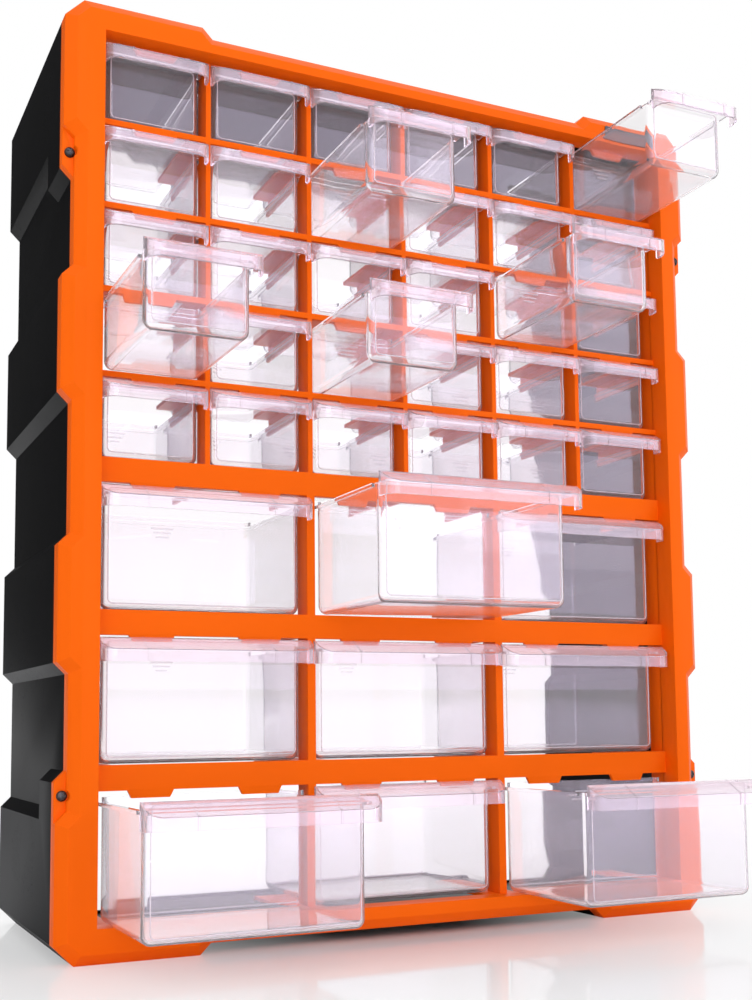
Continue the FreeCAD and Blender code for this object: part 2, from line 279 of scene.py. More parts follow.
# %% The end of every tree
def end_tree(tree, whole, *coats):
    """Makes copies real, shades them smooth and gives them materials, each with its own selection."""
    whole = add(tree, "GeometryNodeRealizeInstances", {"Geometry": whole})
    whole = add(tree, "GeometryNodeSetShadeSmooth", {"Geometry": whole})
    for material, selection in coats:
        coat = {"Geometry": whole, "Material": material}
        if selection:
            coat["Selection"] = selection
        whole = add(tree, "GeometryNodeSetMaterial", coat)
    leave = tree.nodes.new("NodeGroupOutput")
    tree.links.new(whole.socket, leave.inputs[0])
    return tree


# %% [markdown]
# ## How a finished mesh is made
# A tree is only a recipe until it is evaluated. made_mesh puts it on an
# object as a modifier, sets its sizes, adds a Bevel that rounds the edges as a
# mould does, and copies the result into a plain mesh. The modifiers are gone
# after that, so what is shown is a plain mesh.

# %% Evaluate a tree into a plain mesh
def grow(source, tree, sizes):
    """Adds a tree as a modifier and sets its named sizes."""
    grown = source.modifiers.new(tree.name, "NODES")
    grown.node_group = tree
    for socket in tree.interface.items_tree:
        if socket.in_out == "INPUT" and socket.name in sizes:
            grown[socket.identifier] = sizes[socket.name]


def made_mesh(name, tree, sizes=None, start=None, bevel=None, smooth_angle=32, last=None):
    source = bpy.data.objects.new(name + "_source", start or bpy.data.meshes.new(name + "_start"))
    bpy.context.scene.collection.objects.link(source)
    if tree:
        grow(source, tree, sizes or {})
    if bevel:
        soft = source.modifiers.new("soft", "BEVEL")
        for key, value in bevel.items():
            setattr(soft, key, value)
        soft.harden_normals = True
    if last:
        grow(source, last, sizes or {})
    bpy.context.view_layer.update()
    evaluated = source.evaluated_get(bpy.context.evaluated_depsgraph_get())
    mesh = bpy.data.meshes.new_from_object(evaluated)
    mesh.name = name
    bpy.data.objects.remove(source)
    if smooth_angle and not bevel:
        mesh.shade_smooth()
        mesh.set_sharp_from_angle(angle=math.radians(smooth_angle))
    mesh.calc_loop_triangles()
    print(name, "faces", len(mesh.polygons), "triangles", len(mesh.loop_triangles))
    return mesh

# %% [markdown]
# ## Plastics
# Moulded plastic is never one flat colour. Its gloss drifts a little from
# place to place, its skin has a fine grain, and handling leaves faint
# scratches. Three node groups hold those effects, so each plastic can use them
# with its own amounts. They only put out colours, numbers and heights: the
# shader itself stays in each material.

# %% Shader groups
def new_effect(name, inputs, outputs):
    group = bpy.data.node_groups.new(name, "ShaderNodeTree")
    for label, kind, value in inputs:
        socket = group.interface.new_socket(label, in_out="INPUT", socket_type="NodeSocket" + kind)
        socket.default_value = value
    for label, kind in outputs:
        group.interface.new_socket(label, in_out="OUTPUT", socket_type="NodeSocket" + kind)
    entry = group.nodes.new("NodeGroupInput")
    leave = group.nodes.new("NodeGroupOutput")
    return group, {s.name: Wire(group, s) for s in entry.outputs if s.name}, leave


def noise(tree, where, scale, detail=2.0, output=0):
    return add(tree, "ShaderNodeTexNoise", {"Vector": where, "Scale": scale, "Detail": detail}, output=output)


def mould_skin_group():
    """Fine grain as a height, and slow drift of the gloss."""
    group, given, leave = new_effect(
        "mould_skin",
        [
            ("Grain Scale", "Float", 900.0),
            ("Drift Scale", "Float", 12.0),
            ("Roughness", "Float", 0.35),
            ("Drift", "Float", 0.08),
        ],
        [("Height", "Float"), ("Roughness", "Float"), ("Cloud", "Float")],
    )
    where = add(group, "ShaderNodeTexCoord", output="Object")
    grain = noise(group, where, given["Grain Scale"], 3.0)
    cloud = noise(group, where, given["Drift Scale"], 4.0)
    rough = given["Roughness"] + (cloud - 0.5) * given["Drift"]
    for value, socket in ((grain, "Height"), (rough, "Roughness"), (cloud, "Cloud")):
        join_socket(group, value, leave.inputs[socket])
    return group


def scratches_group():
    """Faint straight hairlines: a noise drawn out far along one way, kept only close to its middle."""
    group, given, leave = new_effect(
        "handling_scratches",
        [("Length", "Float", 30.0), ("Spread", "Float", 500.0), ("Amount", "Float", 0.5)],
        [("Mask", "Float")],
    )
    where = add(group, "ShaderNodeTexCoord", output="Object")
    lines = []
    half_line = 0.008
    for turn in (0.35, -0.8):
        scale = vector(group, given["Length"], given["Spread"], given["Spread"])
        stretch = {"Vector": where, "Rotation": (0.4, turn, turn * 0.5), "Scale": scale}
        drawn = add(group, "ShaderNodeMapping", stretch)
        value = noise(group, drawn, 1.0, 0.0)
        distance = add(group, "ShaderNodeMath", {0: value - 0.5}, operation="ABSOLUTE")
        lines.append(distance < half_line)
    patches = noise(group, where, 25.0, 1.0)
    mask = (lines[0] + lines[1]) * (patches > 0.56) * given["Amount"]
    join_socket(group, mask, leave.inputs["Mask"])
    return group


def dust_group():
    """Dust on faces that look up, broken into soft patches."""
    group, given, leave = new_effect(
        "settled_dust",
        [("Amount", "Float", 0.3), ("Scale", "Float", 40.0)],
        [("Mask", "Float")],
    )
    normal = add(group, "ShaderNodeNewGeometry", output="Normal")
    up = add(group, "ShaderNodeSeparateXYZ", {"Vector": normal}, output=2)
    patches = noise(group, add(group, "ShaderNodeTexCoord", output="Object"), given["Scale"], 5.0)
    mask = (up > 0.7) * patches * given["Amount"]
    join_socket(group, mask, leave.inputs["Mask"])
    return group


mould_skin, scratches, dust = mould_skin_group(), scratches_group(), dust_group()
print("effects:", mould_skin.name, scratches.name, dust.name)


# %% Starting a material
def new_plastic(name):
    material = bpy.data.materials.new(name)
    material.use_nodes = True
    tree = material.node_tree
    shader = tree.nodes["Principled BSDF"]
    return material, tree, shader


def effect(tree, group, **values):
    node = tree.nodes.new("ShaderNodeGroup")
    node.node_tree = group
    for name, value in values.items():
        join_socket(tree, value, node.inputs[name.replace("_", " ")])
    return {s.name: Wire(tree, s) for s in node.outputs}


def bump(tree, shader, height, distance, strength=1.0):
    raised = add(tree, "ShaderNodeBump", {"Height": height, "Distance": distance, "Strength": strength})
    join_socket(tree, raised, shader.inputs["Normal"])


def mixed(tree, factor, a, b):
    node = tree.nodes.new("ShaderNodeMix")
    node.data_type = "RGBA"
    join_socket(tree, factor, node.inputs["Factor"])
    join_socket(tree, a, [s for s in node.inputs if s.name == "A" and s.type == "RGBA"][0])
    join_socket(tree, b, [s for s in node.inputs if s.name == "B" and s.type == "RGBA"][0])
    return Wire(tree, [s for s in node.outputs if s.type == "RGBA"][0])


# %% [markdown]
# ### Orange and black
# The frame is a bright, even orange with a soft gloss. The housing is black
# with a satin skin: rough enough to look almost flat, smooth enough for light
# to run along its edges.

# %% Orange frame plastic
orange, tree, shader = new_plastic("orange_frame_plastic")
skin = effect(tree, mould_skin, Grain_Scale=700.0, Drift_Scale=9.0, Roughness=0.36, Drift=0.10)
lines = effect(tree, scratches, Length=25.0, Spread=450.0, Amount=0.3)
base = mixed(tree, skin["Cloud"], (0.90, 0.119, 0.0015, 1), (0.96, 0.142, 0.002, 1))
join_socket(tree, base, shader.inputs["Base Color"])
join_socket(tree, skin["Roughness"] + lines["Mask"] * 0.3, shader.inputs["Roughness"])
shader.inputs["Specular IOR Level"].default_value = 0.06
bump(tree, shader, skin["Height"], 0.02 * mm, 0.5)

# %% Black housing plastic
black, tree, shader = new_plastic("black_housing_plastic")
skin = effect(tree, mould_skin, Grain_Scale=1100.0, Drift_Scale=7.0, Roughness=0.36, Drift=0.10)
lines = effect(tree, scratches, Length=20.0, Spread=400.0, Amount=0.4)
specks = effect(tree, dust, Amount=0.05, Scale=55.0)
base = mixed(tree, skin["Cloud"], (0.0035, 0.0035, 0.004, 1), (0.006, 0.006, 0.0065, 1))
base = mixed(tree, lines["Mask"] * 0.1 + specks["Mask"], base, (0.10, 0.097, 0.095, 1))
join_socket(tree, base, shader.inputs["Base Color"])
join_socket(tree, skin["Roughness"] + lines["Mask"] * 0.3 + specks["Mask"], shader.inputs["Roughness"])
shader.inputs["Specular IOR Level"].default_value = 0.09
bump(tree, shader, skin["Height"], 0.04 * mm, 0.6)

# %% [markdown]
# ### Clear polystyrene
# The drawers are clear, glossy and slightly lilac, and a thin moulded wall is
# never perfectly clear: it holds back a little light and scatters it, which is
# the part that does not transmit here. The hood and its lip hold back a little
# more than the walls, so they read as pale bands. The bevelled edges, the
# raised marks on the rear wall and a bead on each panel get a paler, less clear
# plastic: a painted highlight, which draws a light line round every rim. Light
# that reaches other pieces through a wall is let straight past with Light Path,
# because bent light from small lamps is slow to find.

# %% Clear drawer plastic
def clear_plastic(name, faint, strong, glint, roughness, transmission, passed):
    """faint and strong colour the plastic, glint its reflections, passed the light in its shadow."""
    material, tree, shader = new_plastic(name)
    skin = effect(tree, mould_skin, Grain_Scale=38.0, Drift_Scale=30.0, Roughness=roughness, Drift=0.03)
    lines = effect(tree, scratches, Length=40.0, Spread=900.0, Amount=0.6)
    join_socket(tree, mixed(tree, skin["Cloud"], strong, faint), shader.inputs["Base Color"])
    join_socket(tree, skin["Roughness"] + lines["Mask"] * 0.15, shader.inputs["Roughness"])
    shader.inputs["Transmission Weight"].default_value = transmission
    shader.inputs["IOR"].default_value = 1.45
    shader.inputs["Specular Tint"].default_value = glint
    bump(tree, shader, skin["Height"], 0.05 * mm, 0.12)
    past = tree.nodes.new("ShaderNodeBsdfTransparent")
    past.inputs["Color"].default_value = passed
    either = tree.nodes.new("ShaderNodeMixShader")
    path = tree.nodes.new("ShaderNodeLightPath")
    tree.links.new(path.outputs["Is Shadow Ray"], either.inputs[0])
    tree.links.new(shader.outputs[0], either.inputs[1])
    tree.links.new(past.outputs[0], either.inputs[2])
    tree.links.new(either.outputs[0], tree.nodes["Material Output"].inputs["Surface"])
    return material


clear_wall = clear_plastic(
    "clear_drawer_plastic",
    faint=(0.995, 0.982, 0.992, 1),
    strong=(0.985, 0.965, 0.985, 1),
    glint=(0.90, 0.86, 1.0, 1),
    roughness=0.035,
    transmission=0.94,
    passed=(0.985, 0.975, 0.98, 1),
)
clear_hood = clear_plastic(
    "clear_hood_plastic",
    faint=(0.98, 0.915, 0.95, 1),
    strong=(0.96, 0.88, 0.93, 1),
    glint=(0.92, 0.88, 1.0, 1),
    roughness=0.05,
    transmission=0.86,
    passed=(0.98, 0.95, 0.965, 1),
)
# A paler, less clear plastic that paints a highlight: the bevels, the rear-wall marks and the panel beads
# take it, so light lines run round every rim.
painted_highlight = clear_plastic(
    "painted_highlight_plastic",
    faint=(0.97, 0.92, 0.97, 1),
    strong=(0.93, 0.87, 0.93, 1),
    glint=(0.95, 0.92, 1.0, 1),
    roughness=0.22,
    transmission=0.60,
    passed=(0.97, 0.93, 0.95, 1),
)

# %% Plate and screws
gloss_black, tree, shader = new_plastic("gloss_black_plate")
skin = effect(tree, mould_skin, Grain_Scale=1500.0, Drift_Scale=60.0, Roughness=0.22, Drift=0.1)
lines = effect(tree, scratches, Length=60.0, Spread=1500.0, Amount=0.3)
base = mixed(tree, lines["Mask"], (0.010, 0.010, 0.011, 1), (0.10, 0.10, 0.10, 1))
join_socket(tree, base, shader.inputs["Base Color"])
join_socket(tree, skin["Roughness"], shader.inputs["Roughness"])
bump(tree, shader, skin["Height"], 0.01 * mm, 0.4)

dark_steel, tree, shader = new_plastic("black_oxide_steel")
skin = effect(tree, mould_skin, Grain_Scale=2500.0, Drift_Scale=300.0, Roughness=0.45, Drift=0.2)
lines = effect(tree, scratches, Length=200.0, Spread=4000.0, Amount=1.0)
base = mixed(tree, lines["Mask"], (0.035, 0.033, 0.032, 1), (0.25, 0.24, 0.23, 1))
join_socket(tree, base, shader.inputs["Base Color"])
join_socket(tree, skin["Roughness"], shader.inputs["Roughness"])
shader.inputs["Metallic"].default_value = 0.8
bump(tree, shader, skin["Height"], 0.02 * mm, 0.5)

# %% [markdown]
# ## The clear drawers
# Thirty-nine drawers come from two moulds, so one tree makes both: a tub with
# a floor and walls, a rim outside the low side walls, and a sloping hood with a
# finger lip across the front. The tub is a round-cornered block with a
# smaller block cut out of it, the hood is cut the same way, and a union makes
# them one skin of plastic.

# %% The drawer's tree
def sloped(tree, piece, middle, back, back_top, front_top, depth):
    """Tilts the top of a block, from back_top at its back down to front_top at its front."""
    x, y, z = height_of(tree)
    height = back_top - (back_top - front_top) * (back - y) / depth
    moved = {"Geometry": piece, "Selection": z > middle, "Position": vector(tree, x, y, height)}
    return add(tree, "GeometryNodeSetPosition", moved)


grid_gap = 0.3 * mm
riser_wall = 1.5 * mm
hood_wall = 1.3 * mm
hood_front = 0.2 * mm
hood_radius = 8.0 * mm
neck_height = 1.5 * mm
side_drop, back_drop, hood_drop = 5.2 * mm, 2.8 * mm, 1.0 * mm
underside = 0.25 * mm
mark_step = 2.4 * mm


def drawer_tree():
    tree, size = new_tree("clear_drawer", {
        "Pitch": column_pitch,
        "Opening Width": column_pitch - thin_bar,
        "Opening Height": small_row_pitch - thin_bar_height,
        "Depth": 97.5 * mm,
        "Panel Setback": 5.0 * mm,
        "Wall": 1.5 * mm,
        "Floor": 1.6 * mm,
        "Corner Radius": 4.5 * mm,
        "Rim Band": 1.6 * mm,
        "Hood Fall": 5.0 * mm,
        "Lip Height": 6.2 * mm,
        "Rib Place": 0.25,
    })
    wall, rear, corner = size["Wall"], size["Depth"], size["Corner Radius"]
    riser_back = grid_setback - grid_gap
    riser_front = riser_back - riser_wall
    panel_front = grid_setback + size["Panel Setback"]
    panel_back = panel_front + wall
    top = size["Opening Height"] - hood_drop
    side_top = size["Opening Height"] - side_drop
    back_top = size["Opening Height"] - back_drop
    rim_width = size["Opening Width"] - 0.9 * mm
    width = rim_width - size["Rim Band"] * 2.0
    above = top + 40 * mm

    bin_body = tub(tree, width, panel_front, rear, underside, back_top, corner)
    rim = block(tree, rim_width, panel_front, rear + size["Rim Band"], side_top - 1.8 * mm, side_top, corner)
    rim = cut(tree, rim, brick(tree, 0.4, 30 * mm, 0.4, 0.0, panel_back + corner - 15 * mm, 0.0))
    inside_width = width - wall * 2.0
    inside = tub(tree, inside_width, panel_back, rear - wall, size["Floor"] + underside, above, corner - wall)
    low_sides = block(tree, size["Pitch"] * 1.5, panel_front - 5 * mm, rear - 3.2 * mm, side_top, above, 0.0)
    bin_body = cut(tree, union(tree, bin_body, rim), inside, low_sides)

    fall, lip = size["Hood Fall"], size["Lip Height"]
    hood_width = size["Pitch"] - 2.0 * mm
    lip_bottom = top - fall - lip
    middle = lip_bottom + 1.0 * mm
    depth = riser_back - hood_front
    hood = block(tree, hood_width, hood_front, riser_back, lip_bottom, top, hood_radius, "front")
    hood = sloped(tree, hood, middle, riser_back, top, top - fall, depth)
    inner_width, inner_front = hood_width - 2 * hood_wall, hood_front + hood_wall
    below, inner_radius = lip_bottom - 5 * mm, 6.7 * mm
    hollow = block(tree, inner_width, inner_front, riser_front, below, top, inner_radius, "front")
    inner_top = top - hood_wall
    inner_low = top - fall - hood_wall
    hollow = sloped(tree, hollow, middle - 3 * mm, riser_front, inner_top, inner_low, depth - hood_wall)
    neck_bottom = side_top - neck_height
    under_start, under_end = riser_front - 0.5 * mm, riser_back + 1 * mm
    under_riser = block(tree, inner_width, under_start, under_end, below, neck_bottom, 0.0)
    hood = cut(tree, hood, hollow, under_riser)
    neck = block(tree, width, riser_front + 0.2 * mm, panel_back - 0.02 * mm, neck_bottom, side_top, 0.0)

    rib = block(tree, 0.9 * mm, -0.2 * mm, riser_back, lip_bottom, top, 0.0)
    rib = sloped(tree, rib, middle, riser_back, top + 0.2 * mm, top - fall + 0.2 * mm, depth + 0.4 * mm)
    reach = size["Rib Place"] * size["Pitch"]
    ribs = [placed(tree, rib, reach * side, 0.0, 0.0) for side in (-1.0, 1.0)]
    hood = cut(tree, union(tree, hood, *ribs), hollow, under_riser)

    bar = brick(tree, 1.0, 1.4 * mm, 0.9 * mm, 0.0, 0.0, 0.0)
    start = vector(tree, 0.0, rear - wall + 0.3 * mm, side_top - 3.95 * mm)
    line = {"Count": 3, "Start Location": start, "Offset": vector(tree, 0.0, 0.0, -mark_step)}
    rows = add(tree, "GeometryNodeMeshLine", line)
    index = add(tree, "GeometryNodeInputIndex")
    scale = vector(tree, 13 * mm - index * 3 * mm, 1.0, 1.0)
    marks = add(tree, "GeometryNodeInstanceOnPoints", {"Points": rows, "Instance": bar, "Scale": scale})
    marks = add(tree, "GeometryNodeRealizeInstances", {"Geometry": marks})
    whole = union(tree, bin_body, hood, neck, marks)
    whole = add(tree, "GeometryNodeMergeByDistance", {"Geometry": whole, "Distance": 0.01 * mm})

    hood_faces = height_of(tree)[1] < riser_back + 0.1 * mm
    y = height_of(tree)[1]
    mark_faces = (y > rear - wall - 0.45 * mm) * (y < rear - wall - 0.2 * mm)
    # The raised rear-wall marks are real; their pale plastic, like that of the bevel faces in slot 2, is a
    # painted highlight.
    return end_tree(tree, whole, (clear_wall, None), (clear_hood, hood_faces), (painted_highlight, mark_faces))


# %% [markdown]
# A front panel shows a fine light line a few millimetres inside its edge, a
# highlight where the flat face turns into the round corners of the tub. A thin
# bead of the pale painted-highlight plastic along a rounded outline paints it.
# It is added after the bevel, because the bevel clamps its width to the
# smallest face of a mesh.

# %% The painted highlight round a panel
def panel_highlight_tree():
    tree, size = new_tree("panel_highlight", {
        "Opening Width": column_pitch - thin_bar,
        "Opening Height": small_row_pitch - thin_bar_height,
        "Panel Front": grid_setback + 5.0 * mm,
        "Side Gap": 5.2 * mm,
        "Bottom Gap": 3.6 * mm,
        "Top Gap": 3.4 * mm,
        "Thickness": 0.6 * mm,
        "Corner Radius": 2.2 * mm,
    })
    low, high = size["Bottom Gap"], size["Opening Height"] - size["Top Gap"]
    outline = {"Width": size["Opening Width"] - size["Side Gap"] * 2, "Height": high - low}
    outline = add(tree, "GeometryNodeCurvePrimitiveQuadrilateral", outline)
    rounding = {"Curve": outline, "Count": 4, "Radius": size["Corner Radius"]}
    outline = add(tree, "GeometryNodeFilletCurve", rounding, mode="POLY")
    round_profile = {"Resolution": 6, "Radius": size["Thickness"] / 2}
    profile = add(tree, "GeometryNodeCurvePrimitiveCircle", round_profile)
    highlight_bead = add(tree, "GeometryNodeCurveToMesh", {"Curve": outline, "Profile Curve": profile})
    upright = {"Geometry": highlight_bead, "Rotation": (math.radians(90), 0.0, 0.0)}
    highlight_bead = add(tree, "GeometryNodeTransform", upright)
    highlight_bead = placed(tree, highlight_bead, 0.0, size["Panel Front"], (low + high) / 2)
    # The bead's pale plastic is a painted highlight, not a real line on the panel.
    highlight_bead = add(tree, "GeometryNodeSetMaterial", {"Geometry": highlight_bead, "Material": painted_highlight})
    return end_tree(tree, together(tree, size["Geometry"], highlight_bead))


# %% Both drawer moulds
# The bevel's faces take slot 2, the pale plastic that paints a highlight along every edge.
drawer_edge = {
    "width": 0.4 * mm,
    "segments": 3,
    "limit_method": "ANGLE",
    "angle_limit": math.radians(30),
    "use_clamp_overlap": True,
    "material": 2,
}
clear_drawer, panel_highlight = drawer_tree(), panel_highlight_tree()
moulds = {
    "small": made_mesh("small_drawer_mould", clear_drawer, bevel=drawer_edge, last=panel_highlight),
    "large": made_mesh("large_drawer_mould", clear_drawer, {
        "Pitch": large_pitch,
        "Opening Width": large_pitch - wide_bar,
        "Opening Height": large_row_pitch - thick_bar_height,
        "Hood Fall": 6.2 * mm,
        "Rib Place": 0.29,
    }, bevel=drawer_edge, last=panel_highlight),
}

# %% [markdown]
# ## The orange frame
# On the real cabinet the border, the grid of bars, the stop tabs and the rails
# behind the grid are one moulding. The border is irregular, so its own mesh is
# the start. The rest repeats by rows and columns, which is what instances are
# for: one brick for each kind of bar, copied by pitch. A union then makes one
# skin, and a fine bevel gives it the soft edges that catch the light.

# %% The moulding's tree
def moulding_tree():
    tree, size = new_tree("frame_moulding", {
        "Half Width": grid_half_width,
        "Grid Bottom": grid_bottom,
        "Column Pitch": column_pitch,
        "Small Row Pitch": small_row_pitch,
        "Large Row Pitch": large_row_pitch,
        "Thin Bar": thin_bar,
        "Wide Bar": wide_bar,
        "Thin Bar Height": thin_bar_height,
        "Thick Bar Height": thick_bar_height,
        "Setback": front_y + grid_setback,
        "Fin Depth": 10.0 * mm,
        "Rail End": front_y + 73.5 * mm,
    })
    half, bottom, column = size["Half Width"], size["Grid Bottom"], size["Column Pitch"]
    small_row, large_row, setback = size["Small Row Pitch"], size["Large Row Pitch"], size["Setback"]
    thin_height, thick_height = size["Thin Bar Height"], size["Thick Bar Height"]
    across = half * 2 + 2 * mm
    bar_y = setback + grid_thickness / 2
    small_start = bottom + large_row * 3
    small_top = small_start + small_row * 5 - thin_height
    first = column - half

    thin_row = brick(tree, across, grid_thickness, thin_height, 0.0, bar_y, 0.0)
    thin_rows = repeated(tree, thin_row, 1, 4, 0.0, small_start + small_row - thin_height / 2, 0.0, small_row)
    thick_row = brick(tree, across, grid_thickness, thick_height, 0.0, bar_y, 0.0)
    thick_rows = repeated(tree, thick_row, 1, 3, 0.0, bottom + large_row - thick_height / 2, 0.0, large_row)
    small_high = small_top - small_start + 4 * mm
    fin_depth = grid_thickness + size["Fin Depth"]
    fin_y = setback + fin_depth / 2
    upright = brick(tree, size["Thin Bar"], fin_depth, small_high, 0.0, fin_y, small_high / 2)
    uprights = repeated(tree, upright, 5, 1, first, small_start - 2 * mm, column, 0.0)
    large_high = small_start - bottom
    wide = brick(tree, size["Wide Bar"], fin_depth, large_high, 0.0, fin_y, large_high / 2)
    wides = repeated(tree, wide, 2, 1, first + column, bottom - 2 * mm, column * 2, 0.0)

    x, y, z = height_of(tree)
    tab = add(tree, "GeometryNodeMeshCube", {"Size": (24.2 * mm, 2 * mm, 4.8 * mm)})
    narrow = {"Geometry": tab, "Selection": z < 0.0, "Position": vector(tree, x * (19.3 / 24.2), y, z)}
    tab = placed(tree, add(tree, "GeometryNodeSetPosition", narrow), 0.0, setback + 1 * mm, -1.4 * mm)
    tab_x, small_z, large_z = first - column / 2, small_start + small_row, bottom + large_row
    small_tabs = repeated(tree, tab, 6, 5, tab_x, small_z - thin_height, column, small_row)
    large_tabs = repeated(tree, tab, 6, 3, tab_x, large_z - thick_height, column, large_row)

    rail_start = setback + grid_thickness - 1 * mm
    length = size["Rail End"] - rail_start
    rail_y = rail_start + length / 2
    ledge = brick(tree, 20 * mm, length, 2 * mm, 0.0, rail_y, -1 * mm)
    web = brick(tree, 1.7 * mm, length, 10.4 * mm, 0.0, rail_y, -6.2 * mm)
    rail = union(tree, ledge, web)
    small_rails = repeated(tree, rail, 5, 5, first, small_start, column, small_row)
    large_rails = repeated(tree, rail, 2, 2, first + column, bottom + large_row, column * 2, large_row)
    low_ledges = repeated(tree, ledge, 2, 1, first + column, bottom, column * 2, 0.0)
    side_rails, side_fins = [], []
    border_back = front_y + 13.5 * mm
    fin_length = setback + fin_depth - border_back
    for side in (-1, 1):
        fin_high = small_top - bottom + 1 * mm
        fin_x, fin_y = (half + 1 * mm) * side, border_back + fin_length / 2
        side_fins.append(brick(tree, 2 * mm, fin_length, fin_high, fin_x, fin_y, bottom + fin_high / 2))
        edge = brick(tree, 12 * mm, length, 2 * mm, (half - 4 * mm) * side, rail_y, -1 * mm)
        web = brick(tree, 1.5 * mm, length, 10.4 * mm, (half + 1.25 * mm) * side, rail_y, -6.2 * mm)
        side_rail = union(tree, edge, web)
        side_rails.append(repeated(tree, side_rail, 1, 5, 0.0, small_start, 0.0, small_row))
        side_rails.append(repeated(tree, side_rail, 1, 2, 0.0, bottom + large_row, 0.0, large_row))
        side_rails.append(repeated(tree, edge, 1, 1, 0.0, bottom, 0.0, 0.0))
    bars = [thin_rows, thick_rows, uprights, wides, small_tabs, large_tabs]
    rails = [small_rails, large_rails, low_ledges] + side_rails
    whole = together(tree, union(tree, size["Geometry"], *bars, *rails, overlapping=True), *side_fins)
    whole = add(tree, "GeometryNodeMergeByDistance", {"Geometry": whole, "Distance": 0.01 * mm})
    return end_tree(tree, whole, (orange, None))


# %% A merged copy of a CAD node
def welded(*names):
    """Copies CAD nodes into one mesh and merges their loose triangles' corners."""
    import bmesh

    working = bmesh.new()
    for name in names:
        working.from_mesh(cad[name].data)
    bmesh.ops.remove_doubles(working, verts=working.verts, dist=0.002 * mm)
    flat = [e for e in working.edges if len(e.link_faces) == 2 and e.calc_face_angle(0.0) < math.radians(0.5)]
    bmesh.ops.dissolve_edges(working, edges=flat, use_verts=False)
    bmesh.ops.dissolve_limit(working, angle_limit=math.radians(0.5), verts=working.verts, edges=working.edges)
    mesh = bpy.data.meshes.new(names[0] + "_welded")
    working.to_mesh(mesh)
    working.free()
    mesh.shade_smooth()
    print("welded", names, "faces", len(mesh.polygons))
    return mesh


# %% The moulding's mesh
fine_edge = {
    "width": 0.5 * mm,
    "segments": 2,
    "limit_method": "ANGLE",
    "angle_limit": math.radians(28),
    "use_clamp_overlap": True,
}
moulding = made_mesh("frame_moulding", moulding_tree(), start=welded("front_frame"), bevel=fine_edge)

# %% [markdown]
# ## The housing and the name plate
# The black housing is one open-backed shell. Its stepped outline runs straight
# from front to rear, and what the eye sees of it is mostly thin lines of light
# along the edges of the steps. A sharp edge shows no such line, so the welded
# copy gets a wider bevel than the frame.

# %% Housing and plate meshes
housing_edge = dict(fine_edge, width=0.8 * mm, segments=3)
housing_mesh = made_mesh("housing_shell", None, start=welded("housing"), bevel=housing_edge)
plate_edge = dict(fine_edge, width=0.15 * mm)
plate_mesh = made_mesh("bare_name_plate", None, start=welded("name_plate"), bevel=plate_edge)

# %% [markdown]
# ## The frame screws
# Four dark cross-head screws hold the frame to the housing, each at the bottom
# of a round pocket. One tree makes the head, cuts the cross into it, and puts
# a copy at the middle of each pocket.

# %% Screws
def screw_tree():
    tree, size = new_tree("frame_screw", {
        "Head Radius": 2.6 * mm,
        "Head Height": 1.9 * mm,
        "Shank Radius": 1.2 * mm,
        "Shank Length": 15.0 * mm,
        "Slot Width": 0.8 * mm,
        "Place X": 186.3 * mm,
        "Place Low": 79.2 * mm,
        "Place High": 395.8 * mm,
        "Seat": front_y + 8.5 * mm,
    })
    seat, height = size["Seat"], size["Head Height"]
    round_form = {"Vertices": 40, "Side Segments": 4, "Radius": size["Head Radius"], "Depth": height}
    head = add(tree, "GeometryNodeMeshCylinder", round_form)
    x, y, z = height_of(tree)
    rise = z / height + 0.5
    pulled = 1.0 - rise * rise * rise * 0.45
    domed = {"Geometry": head, "Position": vector(tree, x * pulled, y * pulled, z)}
    head = add(tree, "GeometryNodeSetPosition", domed)
    slots = [brick(tree, a * mm, b * mm, 0.9 * mm, 0.0, 0.0, height / 2) for a, b in ((3.2, 0.8), (0.8, 3.2))]
    head = cut(tree, head, union(tree, *slots))
    shank_form = {"Vertices": 20, "Radius": size["Shank Radius"], "Depth": size["Shank Length"]}
    shank = add(tree, "GeometryNodeMeshCylinder", shank_form)
    shank = placed(tree, shank, 0.0, 0.0, height * -0.5 - size["Shank Length"] * 0.49)
    screw = union(tree, head, shank)
    turned = {"Geometry": screw, "Rotation": (math.radians(90), 0.0, 0.0)}
    screw = add(tree, "GeometryNodeTransform", turned)
    screw = placed(tree, screw, 0.0, seat - height / 2, 0.0)
    gap = size["Place High"] - size["Place Low"]
    screws = repeated(tree, screw, 2, 2, size["Place X"] * -1.0, size["Place Low"], size["Place X"] * 2, gap)
    return end_tree(tree, screws, (dark_steel, None))


screws_mesh = made_mesh("frame_screw_set", screw_tree(), smooth_angle=40)

# %% [markdown]
# ## Putting the pieces in the scene
# show makes an object of a finished mesh, gives it its material, rides it on
# the body that carries it, and hides the CAD solids it stands for. Each drawer is
# a copy of its mould, put where the imported model has that drawer, open or
# shut.

# %% Show the cabinet's own pieces
def show(name, mesh, material, body, slot, *stands_for):
    if material:
        mesh.materials.clear()
        mesh.materials.append(material)
    piece = bpy.data.objects.new(name, mesh)
    bpy.context.scene.collection.objects.link(piece)
    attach(piece, body)
    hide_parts(*stands_for)
    return piece


grid_nodes = ("front_frame", "cross_bars", "upright_bars", "drawer_rails")
show("frame_moulding", moulding, None, "cabinet", "frame_plastic", *grid_nodes)
show("housing_shell", housing_mesh, black, "cabinet", "housing_plastic", "housing")
show("bare_name_plate", plate_mesh, gloss_black, "cabinet", "plate_plastic", "name_plate")
show("cross_head_screws", screws_mesh, None, "cabinet", "screw_metal", "frame_screws")

# %% Show the drawers
for name in drawer_names:
    low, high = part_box(name)
    middle = (low[0] + high[0]) / 2
    kind = name.split("_")[1]
    shape = moulds[kind].copy()
    shape.transform(Matrix.Translation((middle, low[1] + 0.2 * mm, low[2] - 0.25 * mm)))
    show("clear_" + name, shape, None, name, "drawer_plastic", name)
print("drawers shown:", len(drawer_names))

